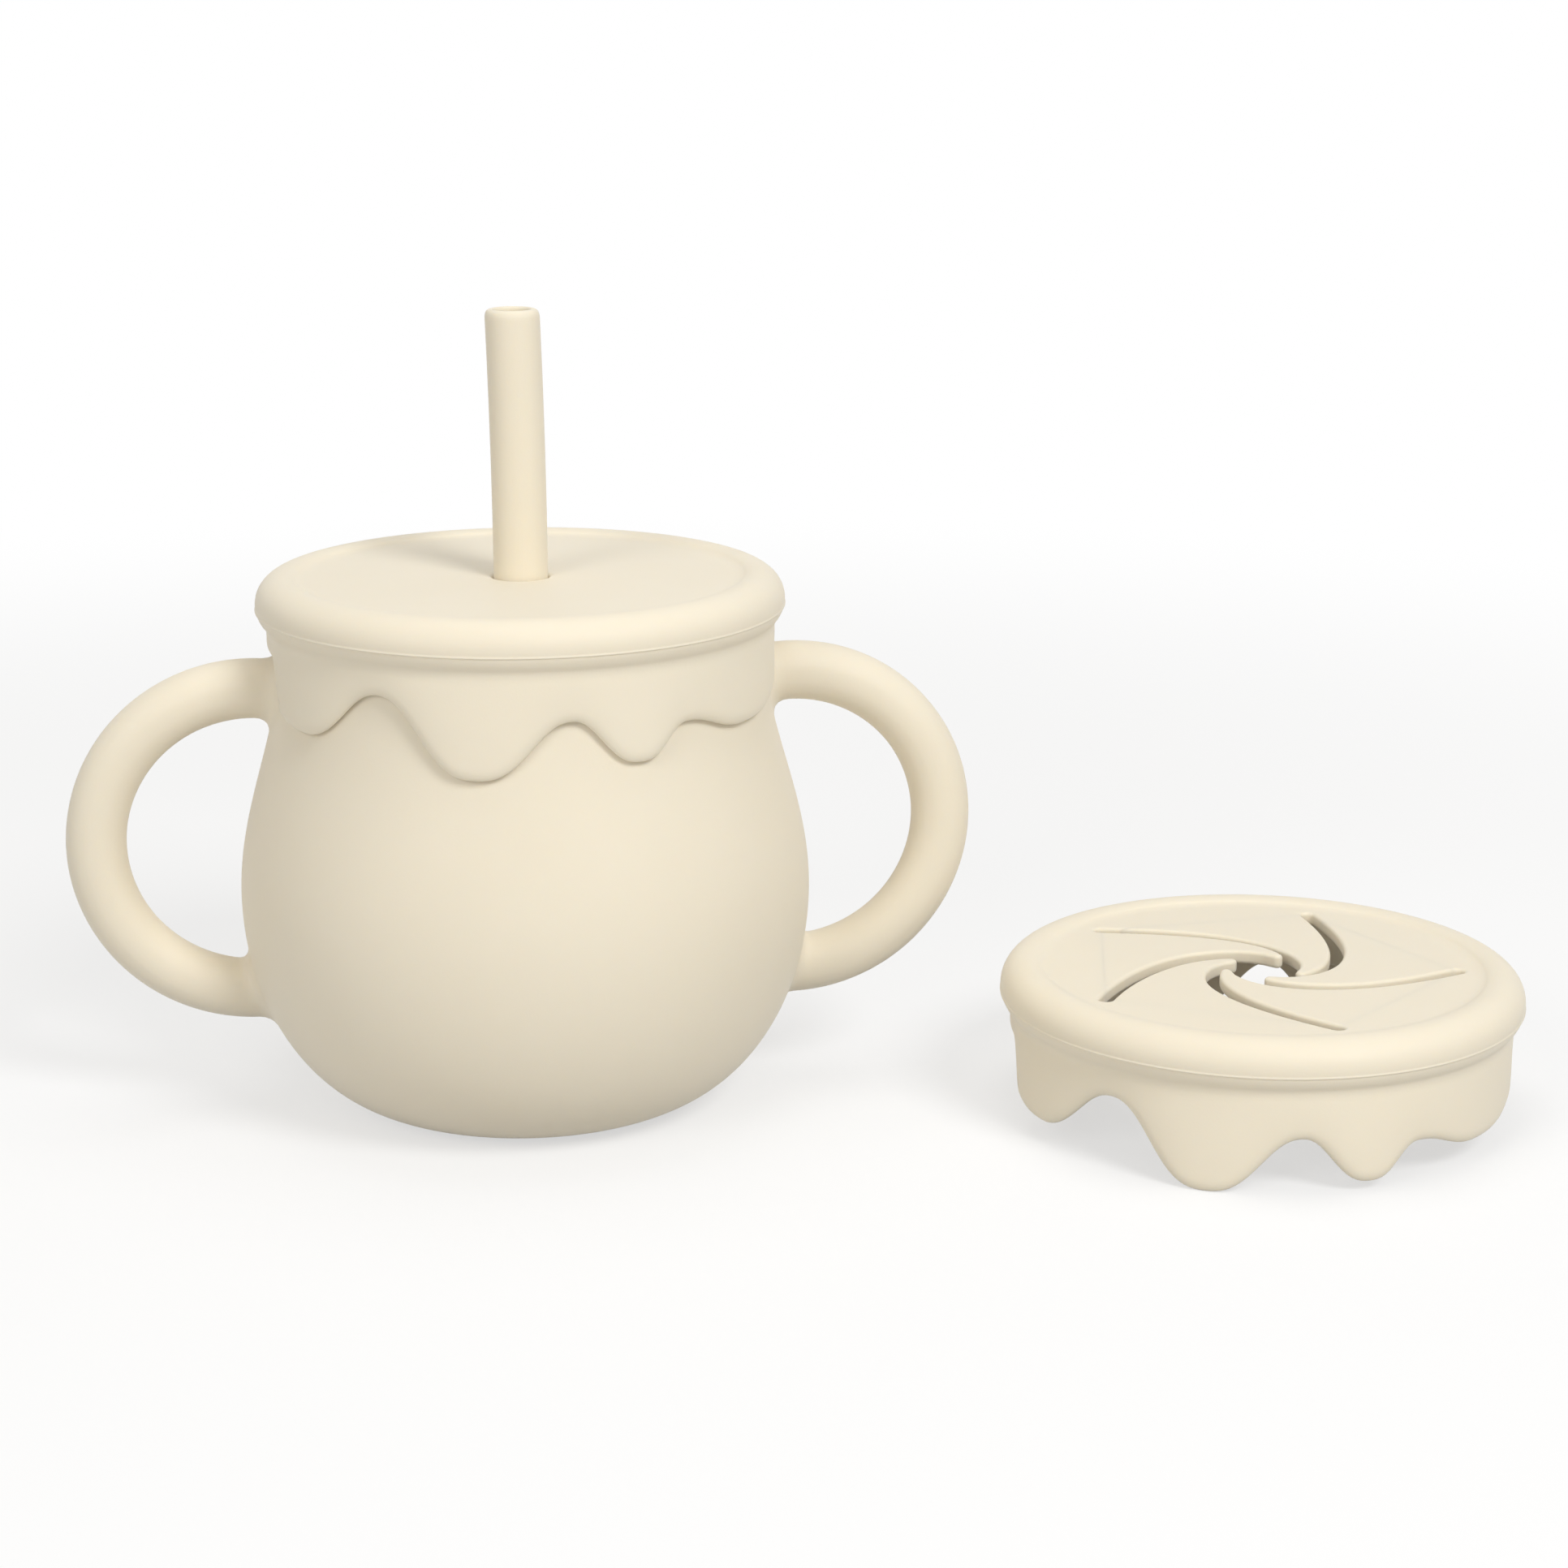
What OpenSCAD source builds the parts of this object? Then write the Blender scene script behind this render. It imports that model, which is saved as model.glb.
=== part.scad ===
// Toddler snack cup in soft silicone: a round pot with two loop handles, a lid with a straw, and a
// second lid whose top is cut into five curved flaps that a small hand pushes through. The straw lid
// is on the pot. The snack lid stands beside it on the same table, on the drips of its own skirt.
// X runs from handle to handle, Y runs away from the front, and Z is up from the middle of the base.

/* [Pot] */
// Diameter of the pot at its widest place
belly_d = 91.6; // [84:0.2:104]
// Height of the widest place
belly_z = 35; // [26:0.5:44]
// Diameter of the flat that the pot stands on
base_d = 42; // [30:0.5:60]
// Outer diameter of the neck
neck_d = 76.8; // [68:0.2:82]
// Height at which the shoulder has drawn in to the neck
neck_z = 76; // [72:0.5:79]
// Height of the rim
rim_z = 82.6; // [81:0.1:96]
// Thickness of the side wall
wall = 2.6; // [1.8:0.1:4]
// Thickness of the floor
floor_t = 3.2; // [2:0.1:6]

/* [Handles] */
// Diameter of the round handle
grip_d = 9.5; // [7:0.1:11]
// Radius of the loop, from its middle to the middle of the grip
loop_r = 24.8; // [21:0.1:27]
// Distance from the pot's axis to the middle of each loop
loop_x = 43.4; // [40:0.1:48]
// Height of the middle of each loop
loop_z = 44.2; // [38:0.1:46]

/* [Lids] */
// Thickness of the lid's flat top
plate_t = 2.2; // [1.6:0.1:3]
// How far the rolled edge stands above the flat top
crest_h = 0.9; // [0.4:0.1:1.6]
// Radius of the rolled edge
roll_r = 4.4; // [4:0.1:5]
// How far the rolled edge stands out from the neck
roll_out = 3.5; // [3:0.1:4.4]
// Material between the rim of the pot and the crest of the rolled edge
roof_t = 4; // [3.7:0.1:5]
// Thickness of the skirt that hangs over the shoulder
skirt_t = 1.5; // [1:0.1:2.4]
// Gap between the skirt and the pot
skirt_gap = 0.35; // [0.2:0.05:0.8]
// Gap between the rim and the groove that it seats in
seat_gap = 0.1; // [0.05:0.05:0.4]
// Thickness of the ring that plugs the mouth
plug_t = 2; // [1.4:0.1:2.6]
// Depth of the plug ring below the flat top
plug_h = 7; // [4:0.5:12]
// Gap between the plug ring and the inside of the neck
plug_gap = 0.3; // [0.2:0.05:0.8]

/* [Drips] */
// How far the long drips reach below the rim
drip_long = 20; // [16:0.5:24]
// How far the skirt reaches below the rim in the highest valley
drip_short = 8.4; // [8:0.1:12]
// How full the drips are: 1 gives even waves, more gives broad drips with narrow valleys
drip_fullness = 1.15; // [1:0.05:1.6]
// Width of the arch that lets a handle out under the skirt
arch_w = 22; // [15:0.5:30]
// Gap between the top of a handle and its arch
arch_gap = 1.2; // [0.6:0.1:2]

/* [Straw] */
// Outer diameter of the straw
straw_d = 8.6; // [7:0.1:10]
// Bore of the straw
straw_bore = 5.6; // [4:0.1:6]
// Length of the straw
straw_len = 121; // [105:1:140]
// Height of the straw's foot above the floor
straw_rise = 3.8; // [3:0.1:12]
// Gap all round between the straw and its collar
straw_gap = 0.08; // [0.05:0.01:0.2]
// Diameter of the foot that stops the straw under the lid
foot_d = 13; // [11.5:0.5:18]
// Height of the foot
foot_h = 3; // [2:0.5:6]
// Width of the two inlet slots across the foot
inlet_w = 2.4; // [1.5:0.1:3]
// Height of the inlet slots
inlet_h = 1.6; // [1:0.1:1.8]
// Wall of the collar round the straw
collar_t = 2.2; // [1.5:0.1:4]
// Length of the collar below the flat top
collar_h = 5; // [2:0.5:10]
// Width of the bevel round the straw at the top of its hole
hole_bevel = 0.5; // [0.2:0.1:1]

/* [Snack flaps] */
// Number of flaps
flap_count = 5; // [4:1:7]
// Distance from the lid's centre to the outer end of each slit
slit_out_r = 31.3; // [28:0.1:32]
// Width of the slits
slit_w = 2.2; // [1.8:0.1:2.8]
// How fast a slit winds round the centre as it comes in, in degrees
slit_turn = 42; // [20:1:50]
// How much the winding eases off near the centre
slit_ease = 0.12; // [0:0.01:0.3]
// Radius of the opening where the tips of the flaps meet
eye_r = 4.6; // [3.6:0.1:6]
// Direction of the first slit's outer end
slit_start = 0; // [-36:1:36]
// Gap all round the bending line at the root of a flap
root_gap = 0.12; // [0.1:0.01:0.2]
// Plain stretch at each end of the bending line, beside the slits
root_margin = 3.6; // [3:0.1:6]

/* [Snack lid's place] */
// Distance of the snack lid from the pot's axis, towards the right handle
snack_x = 116; // [112:1:150]
// Distance of the snack lid from the pot's axis, away from the front
snack_y = -26; // [-60:1:-10]
// Turn of the snack lid about its own middle
snack_turn = -13; // [-30:1:30]

/* [Hidden] */
$fn = 96;
steps = 12;

belly_r = belly_d / 2;
neck_r = neck_d / 2;
base_r = base_d / 2;
mouth_r = neck_r - wall;

// The rolled edge is a ring of roll_r round roll_c; the flat top lies crest_h below its crest.
crest_z = rim_z + seat_gap + roof_t;
roll_c = [neck_r + roll_out - roll_r, crest_z - roll_r];
plate_z = crest_z - crest_h;
under_z = plate_z - plate_t;
skirt_in_r = neck_r + skirt_gap;
skirt_low_z = rim_z - drip_long;
plug_r = mouth_r - plug_gap;
plate_r = plug_r - plug_t;
arch_z = loop_z + loop_r + grip_d / 2 + arch_gap;

straw_r = straw_d / 2;
straw_z = floor_t + straw_rise;
hole_r = straw_r + straw_gap;

arch_half = asin(arch_w / 2 / skirt_in_r);

groove_r = plate_t / 2 + root_gap;
hinge_z = under_z + plate_t / 2;
flap_turn = 360 / flap_count;
root_len = 2 * slit_out_r * sin(flap_turn / 2);
frame_r = (slit_out_r + slit_w / 2 + plate_r) / 2;

// Turning points of the drip edge: the angle from the front, towards the right handle, and how far
// down the edge comes there, from 0 in the highest valley to 1 at the tip of a long drip. The three
// long drips are spread round the lid, so it stands level on them.
edge_turns = [
    [-90, 0.22], [-60, 0.69], [-38, 0], [-14, 1], [6, 0.28], [21, 0.86], [34, 0.45], [52.5, 0.66],
    [90, 0.2], [122, 1], [141, 0.25], [157, 0.8], [174, 0], [192, 0.7], [206, 0.3], [224, 1], [270, 0.22]
];

// Outer radius of the pot: an ellipse from the base to the belly, a half wave in to the neck above it.
function pot_r(z) =
    z < belly_z ? base_r + (belly_r - base_r) * sqrt(1 - pow(1 - z / belly_z, 2)) :
    z < neck_z ? neck_r + (belly_r - neck_r) * (1 + cos(180 * (z - belly_z) / (neck_z - belly_z))) / 2 :
    neck_r;

// Inner radius of the pot, with the same kind of curve set in by the wall and the floor.
function hollow_r(z) =
    z < belly_z ? base_r + (belly_r - base_r - wall) * sqrt(1 - pow((belly_z - z) / (belly_z - floor_t), 2)) :
    pot_r(z) - wall;

// Heights that crowd together near the foot of a curve, where its radius changes fastest.
function rising(from, to, n) = [for (i = [0:n]) from + (to - from) * (1 - cos(90 * i / n))];
function evenly(from, to, n) = [for (i = [1:n]) from + (to - from) * i / n];
function arc(c, r, from, to, n) = [for (i = [0:n]) c + r * [cos(from + (to - from) * i / n), sin(from + (to - from) * i / n)]];

// Depth share of the drip edge between two turning points: level at both, with drips fuller than valleys.
function wave(u) = let (v = pow(u, drip_fullness)) v * v * v * (10 - 15 * v + 6 * v * v);
function between(a, b, u) = a > b ? a + (b - a) * wave(u) : b + (a - b) * wave(1 - u);
function edge_share(angle, i = 0) =
    angle <= edge_turns[i + 1][0] || i == len(edge_turns) - 2
        ? between(edge_turns[i][1], edge_turns[i + 1][1],
                  (angle - edge_turns[i][0]) / (edge_turns[i + 1][0] - edge_turns[i][0]))
        : edge_share(angle, i + 1);
function edge_z(angle) = rim_z - drip_short - (drip_long - drip_short) * edge_share(angle);

// A slit's middle line, from its outer end in to the eye. It winds clockwise as it goes in.
function slit_angle(r) =
    let (q = slit_out_r / r - 1)
    slit_turn * q / (1 + slit_ease * q);
function slit_point(r) = r * [cos(slit_angle(r)), -sin(slit_angle(r))];
function slit_side(r, side) =
    let (d = slit_point(r - 0.05) - slit_point(r))
    slit_point(r) + side * slit_w / 2 * [-d[1], d[0]] / norm(d);
slit_steps = 20;
slit_end_r = eye_r - slit_w / 2;
slit_radii = [for (i = [0:slit_steps]) slit_out_r + (slit_end_r - slit_out_r) * i / slit_steps];

module pot_outside() {
    rotate_extrude()
        polygon(concat(
            [[0, 0]],
            [for (z = rising(0, belly_z, steps)) [pot_r(z), z]],
            [for (z = evenly(belly_z, neck_z, steps)) [pot_r(z), z]],
            arc([neck_r - wall / 2, rim_z - wall / 2], wall / 2, 0, 90, 6),
            [[0, rim_z]]
        ));
}

module pot_hollow() {
    rotate_extrude()
        polygon(concat(
            [[0, floor_t]],
            [for (z = rising(floor_t, belly_z, steps)) [hollow_r(z), z]],
            [for (z = evenly(belly_z, neck_z, steps)) [hollow_r(z), z]],
            arc([neck_r - wall / 2, rim_z - wall / 2], wall / 2, 180, 90, 6),
            [[mouth_r + wall / 2, rim_z + 1], [0, rim_z + 1]]
        ));
}

module cup_pot() {
    color("antiquewhite")
        difference() {
            pot_outside();
            pot_hollow();
        }
}

// A handle is a round loop that ends square on the pot. Side is 1 for the right handle.
module handle(side) {
    color("antiquewhite")
        difference() {
            translate([side * loop_x, 0, loop_z])
                rotate([90, 0, 0])
                    rotate_extrude()
                        translate([loop_r, 0])
                            circle(d = grip_d);
            pot_outside();
        }
}

module left_handle() {
    handle(-1);
}

module right_handle() {
    handle(1);
}

// Section of a lid from its flat top out to the root of the skirt. The groove takes the pot's rim.
module lid_section(from_r) {
    rise = asin((plate_z - roll_c[1]) / roll_r);
    fall = acos((skirt_in_r + skirt_t - roll_c[0]) / roll_r);
    polygon(concat(
        [[from_r, under_z], [from_r, plate_z], [roll_c[0] - roll_r * cos(rise) - 1.6, plate_z]],
        arc(roll_c, roll_r, 180 - rise - 12, -fall, 18),
        [[skirt_in_r + skirt_t, arch_z], [skirt_in_r, arch_z], [skirt_in_r, rim_z - wall / 2]],
        arc([neck_r - wall / 2, rim_z - wall / 2], wall / 2 + seat_gap, 0, 180, 10),
        [[plug_r, rim_z - wall / 2], [plug_r, under_z - plug_h], [plate_r, under_z - plug_h], [plate_r, under_z]]
    ));
}

// Skirt from one arch to the next. It follows the shoulder of the pot down to the drip edge, and its
// upper end is bedded in the root of the skirt.
module skirt(from, to) {
    n = 48;
    rows = 4;
    bed = 0.03;
    row = 2 * (rows + 1);
    points = [
        for (i = [0:n])
            let (angle = from + (to - from) * i / n, low = edge_z(angle), top = arch_z + 0.4)
            for (j = [0:row - 1])
                let (inside = j > rows, k = inside ? row - 1 - j : j,
                     z = top + (low - top) * k / rows,
                     r = pot_r(z) + skirt_gap + (inside ? bed : skirt_t - bed))
                [r * sin(angle), -r * cos(angle), z]
    ];
    sides = [
        for (i = [0:n - 1], j = [0:row - 1])
            let (a = i * row, b = a + row, l = (j + 1) % row)
            each [[a + j, b + l, a + l], [a + j, b + j, b + l]]
    ];
    ends = [
        for (j = [0:rows - 1])
            let (k = row - 1 - j, e = n * row)
            each [[j, k - 1, k], [j, j + 1, k - 1], [e + j, e + k, e + k - 1], [e + j, e + k - 1, e + j + 1]]
    ];
    polyhedron(points, concat(sides, ends));
}

// Rolled edge, plug ring and dripping skirt, which both lids share. The top is closed in to from_r.
module lid_shell(from_r) {
    rotate_extrude()
        lid_section(from_r);
    skirt(arch_half - 90, 90 - arch_half);
    skirt(90 + arch_half, 270 - arch_half);
}

module straw_lid() {
    color("antiquewhite")
        difference() {
            union() {
                lid_shell(hole_r);
                difference() {
                    translate([0, 0, under_z - collar_h])
                        cylinder(h = collar_h + plate_t / 2, r = hole_r + collar_t);
                    translate([0, 0, under_z - collar_h - 1])
                        cylinder(h = collar_h + plate_t + 2, r = hole_r);
                }
            }
            translate([0, 0, plate_z - hole_bevel])
                cylinder(h = 2 * hole_bevel, r1 = hole_r, r2 = hole_r + 2 * hole_bevel);
        }
}

module straw() {
    tip = (straw_d - straw_bore) / 4;
    color("antiquewhite")
        translate([0, 0, straw_z])
            difference() {
                rotate_extrude()
                    polygon(concat(
                        [[straw_bore / 2, 0], [foot_d / 2, 0], [foot_d / 2, foot_h / 2], [straw_r, foot_h]],
                        arc([straw_bore / 2 + tip, straw_len - tip], tip, 0, 180, 8)
                    ));
                for (turn = [0, 90])
                    rotate(turn)
                        translate([-foot_d, -inlet_w / 2, -1])
                            cube([2 * foot_d, inlet_w, inlet_h + 1]);
            }
}

// Plan of one slit, with a round outer end.
module slit() {
    polygon(concat(
        [for (r = slit_radii) slit_side(r, 1)],
        [for (i = [slit_steps:-1:0]) slit_side(slit_radii[i], -1)]
    ));
    translate([slit_out_r, 0])
        circle(d = slit_w, $fn = 32);
}

// Plan of one flap between the middle lines of its two slits. Its straight side is the bending line.
module flap_field() {
    polygon(concat(
        [for (r = slit_radii) slit_point(r)],
        [for (i = [slit_steps:-1:0])
            let (p = slit_point(slit_radii[i]))
            [p[0] * cos(flap_turn) - p[1] * sin(flap_turn), p[0] * sin(flap_turn) + p[1] * cos(flap_turn)]]
    ));
}

module through_plate() {
    translate([0, 0, under_z - 1])
        linear_extrude(plate_t + 2)
            children();
}

// Round rod along the bending line of the flap that starts at the first slit.
module root_rod(r, length) {
    rotate(flap_turn / 2)
        translate([slit_out_r * cos(flap_turn / 2), length / 2, hinge_z])
            rotate([90, 0, 0])
                cylinder(h = length, r = r, $fn = 48);
}

module at_snack_place() {
    translate([snack_x, snack_y, -skirt_low_z])
        rotate(snack_turn)
            children();
}

// Flat ring that the flaps hang in. Their bending lines make a polygon with its corners at the outer
// ends of the slits, and a round groove runs along each.
module flap_frame() {
    difference() {
        difference() {
            translate([0, 0, under_z])
                cylinder(h = plate_t, r = frame_r + 0.2);
            for (k = [0:flap_count - 1])
                rotate(slit_start + k * flap_turn)
                    root_rod(groove_r, root_len - slit_w / 2);
        }
        rotate(slit_start)
            through_plate()
                polygon([for (k = [0:flap_count - 1]) slit_out_r * [cos(k * flap_turn), sin(k * flap_turn)]]);
        for (k = [0:flap_count - 1])
            rotate(slit_start + k * flap_turn)
                through_plate()
                    slit();
    }
}

module snack_lid() {
    color("antiquewhite")
        at_snack_place() {
            lid_shell(frame_r);
            flap_frame();
        }
}

// A flap bends down and up about the rod at its root.
module snack_flap(k) {
    color("antiquewhite")
        at_snack_place()
            rotate(slit_start + (k - 1) * flap_turn)
                difference() {
                    union() {
                        translate([0, 0, under_z])
                            linear_extrude(plate_t)
                                flap_field();
                        root_rod(plate_t / 2 - 0.04, root_len - 2 * root_margin);
                    }
                    for (turn = [0, flap_turn])
                        rotate(turn)
                            through_plate()
                                slit();
                    translate([0, 0, under_z - 1])
                        cylinder(h = plate_t + 2, r = eye_r);
                }
}

cup_pot();
left_handle();
right_handle();
straw_lid();
straw();
snack_lid();
snack_flap(1);  // snack_flap_1
snack_flap(2);  // snack_flap_2
snack_flap(3);  // snack_flap_3
snack_flap(4);  // snack_flap_4
snack_flap(5);  // snack_flap_5
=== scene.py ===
from math import atan2, cos, degrees, pi, radians, sin, sqrt

import bmesh
import bpy
import numpy as np
from mathutils import Matrix, Vector


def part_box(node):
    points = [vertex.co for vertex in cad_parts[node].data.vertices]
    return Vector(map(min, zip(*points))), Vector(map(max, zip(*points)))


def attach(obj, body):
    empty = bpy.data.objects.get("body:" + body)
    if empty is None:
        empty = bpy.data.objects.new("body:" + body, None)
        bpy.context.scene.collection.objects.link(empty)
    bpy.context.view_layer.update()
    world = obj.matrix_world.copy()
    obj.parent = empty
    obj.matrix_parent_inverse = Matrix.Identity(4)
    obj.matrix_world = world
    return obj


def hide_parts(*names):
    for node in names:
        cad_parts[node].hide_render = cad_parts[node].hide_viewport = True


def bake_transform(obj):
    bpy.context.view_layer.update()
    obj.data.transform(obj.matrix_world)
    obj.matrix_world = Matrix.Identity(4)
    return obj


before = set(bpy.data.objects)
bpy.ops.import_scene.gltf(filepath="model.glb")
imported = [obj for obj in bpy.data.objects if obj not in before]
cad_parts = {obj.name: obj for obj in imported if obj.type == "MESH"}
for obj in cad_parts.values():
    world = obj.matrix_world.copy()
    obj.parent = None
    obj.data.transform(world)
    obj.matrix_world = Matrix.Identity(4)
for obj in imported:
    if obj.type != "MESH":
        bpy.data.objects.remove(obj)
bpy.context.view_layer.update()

mm = 0.001  # the pieces and the camera are given in millimetres, the stage and the lamps in metres
weldDistance = 0.001  # points closer than this are one point, in millimetres


def boxOf(node):
    # lowest and highest corner of a CAD node, in millimetres
    low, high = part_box(node)
    return low / mm, high / mm


def newObject(bm, name):
    mesh = bpy.data.meshes.new(name)
    bm.to_mesh(mesh)
    bm.free()
    made = bpy.data.objects.new(name, mesh)
    bpy.context.scene.collection.objects.link(made)
    return made


def finishPiece(bm, name, material, body, replaced, smoothAngle=40):
    # turns a bmesh in millimetres into a piece in metres, which rides on its body if it has just one
    bmesh.ops.scale(bm, vec=(mm, mm, mm), verts=bm.verts)
    piece = newObject(bm, name)
    piece.data.shade_smooth()
    piece.data.set_sharp_from_angle(angle=radians(smoothAngle))
    piece.data.materials.append(material)
    if body:
        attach(piece, body)
    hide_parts(*replaced)
    print("made", name, "with", len(piece.data.polygons), "faces")
    return piece


def applyModifier(piece, kind, **settings):
    modifier = piece.modifiers.new(kind, kind)
    for key, value in settings.items():
        setattr(modifier, key, value)
    graph = bpy.context.evaluated_depsgraph_get()
    made = bpy.data.meshes.new_from_object(piece.evaluated_get(graph))
    piece.modifiers.clear()
    piece.data = made


def combine(piece, bm, operation, solver="EXACT"):
    # joins a solid to a scratch object, or cuts it away
    other = newObject(bm, "scratchSolid")
    applyModifier(piece, "BOOLEAN", object=other, operation=operation, solver=solver)
    bpy.data.objects.remove(other)


def takeBack(piece):
    # the mesh of a scratch object, which goes away
    bm = bmesh.new()
    bm.from_mesh(piece.data)
    bpy.data.objects.remove(piece)
    return bm


def partOf(mesh, test):
    # the faces of a mesh whose index passes the test
    bm = bmesh.new()
    bm.from_mesh(mesh)
    gone = [face for i, face in enumerate(bm.faces) if not test(i)]
    bmesh.ops.delete(bm, geom=gone, context="FACES")
    return bm


def chain(bm, points, closed=False):
    # an open or closed run of edges through points (x, y, z)
    verts = [bm.verts.new(p) for p in points]
    pairs = list(zip(verts, verts[1:])) + ([(verts[-1], verts[0])] if closed else [])
    return verts, [bm.edges.new(pair) for pair in pairs]


def spinRound(bm, geom, columns, axis=(0, 0, 1)):
    # sweeps edges one full turn round an axis through the origin
    bmesh.ops.spin(bm, geom=geom, cent=(0, 0, 0), axis=axis, dvec=(0, 0, 0), angle=2 * pi,
                   steps=columns, use_merge=True, use_duplicate=False)


def closeSeams(bm, distance=weldDistance):
    bmesh.ops.remove_doubles(bm, verts=bm.verts, dist=distance)
    bmesh.ops.recalc_face_normals(bm, faces=bm.faces)


def spinProfile(bm, points, columns, closed=False):
    # a profile of (r, z) points turned all the way round Z
    verts, edges = chain(bm, [(r, 0, z) for r, z in points], closed)
    spinRound(bm, verts + edges, columns)
    closeSeams(bm)


def arcPoints(centre, radius, start, end, count):
    # points on a circle from one angle to another, in degrees
    turns = [radians(start + (end - start) * i / count) for i in range(count + 1)]
    return [(centre[0] + radius * cos(t), centre[1] + radius * sin(t)) for t in turns]


def bendPoints(a, b, c, count):
    # a soft corner from a to c that leans towards b
    out = []
    for i in range(count + 1):
        t = i / count
        near, lean, far = (1 - t) ** 2, 2 * t * (1 - t), t * t
        out.append(tuple(near * p + lean * q + far * s for p, q, s in zip(a, b, c)))
    return out


def spread(start, end, count):
    return [start + (end - start) * (i / count) for i in range(count + 1)]


def rising(start, end, count):
    # heights that crowd together near the start
    return [start + (end - start) * (1 - cos(pi / 2 * i / count)) for i in range(count + 1)]


def smoothStep(t):
    t = min(1, max(0, t))
    return t * t * (3 - 2 * t)


# the pot with its two loops, which the lids follow too

potShape = dict(
    bellyHeight=35.0, baseRadius=21.0, neckRadius=38.4, neckHeight=76.0, wall=2.6, floor=3.2,
    gripRadius=4.75, loopRadius=24.8, loopOut=43.4, loopHeight=44.2, fillet=3.0, voxel=0.9,
    centreShare=0.6, hollowAbove=3.0, columns=160, sideRows=24, outerLipRows=6, innerLipRows=8,
    gripColumns=32, loopColumns=120,
)
potShape["bellyRadius"] = boxOf("cup_pot")[1].x
potShape["rim"] = boxOf("cup_pot")[1].z


def bowlRadius(share, wall=0):
    # radius at a share of the way from the belly down to the base
    p = potShape
    width = p["bellyRadius"] - p["baseRadius"] - wall
    return p["baseRadius"] + width * sqrt(max(0, 1 - share ** 2))


def potRadius(z):
    p = potShape
    if z < p["bellyHeight"]:
        return bowlRadius(1 - z / p["bellyHeight"])
    if z < p["neckHeight"]:
        wave = (1 + cos(pi * (z - p["bellyHeight"]) / (p["neckHeight"] - p["bellyHeight"]))) / 2
        return p["neckRadius"] + (p["bellyRadius"] - p["neckRadius"]) * wave
    return p["neckRadius"]


def hollowRadius(z):
    p = potShape
    if z < p["bellyHeight"]:
        return bowlRadius((p["bellyHeight"] - z) / (p["bellyHeight"] - p["floor"]), p["wall"])
    return potRadius(z) - p["wall"]


def cupDistance(points):
    # rough distance of points from the outside of the pot with its two loops, fillets included
    p = potShape
    x, y, z = points.T
    r = np.hypot(x, y)
    width = p["bellyRadius"] - p["baseRadius"]
    over = np.maximum(r - p["baseRadius"], 0) / width
    bowl = (np.hypot(over, (z - p["bellyHeight"]) / p["bellyHeight"]) - 1) * p["bellyHeight"]
    turn = np.clip((z - p["bellyHeight"]) / (p["neckHeight"] - p["bellyHeight"]), 0, 1)
    side = r - p["neckRadius"] - (p["bellyRadius"] - p["neckRadius"]) * (1 + np.cos(pi * turn)) / 2
    lip = p["wall"] / 2
    outX, outZ = r - p["neckRadius"] + lip, z - p["rim"] + lip
    rim = np.hypot(np.maximum(outX, 0), np.maximum(outZ, 0)) - lip
    rim += np.minimum(np.maximum(outX, outZ), 0)
    pot = np.where(z < p["bellyHeight"], bowl, np.where(z < p["neckHeight"], side, rim))
    loop = np.hypot(np.abs(x) - p["loopOut"], z - p["loopHeight"]) - p["loopRadius"]
    grip = np.hypot(loop, y) - p["gripRadius"]
    near = np.maximum(p["fillet"] - np.abs(pot - grip), 0) / p["fillet"]
    return np.minimum(pot, grip) - near * near * p["fillet"] / 4


def settleOn(distance, points, rounds=6, step=0.02, leastSlope=0.05):
    # moves points along the slope of a distance function until they lie on its surface
    axes = np.eye(3) * step
    for _ in range(rounds):
        value = distance(points)
        slope = np.stack([distance(points + a) - distance(points - a) for a in axes], 1) / (2 * step)
        size = np.maximum((slope ** 2).sum(1), leastSlope)
        points = points - slope * (value / size)[:, None]
    return points


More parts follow.
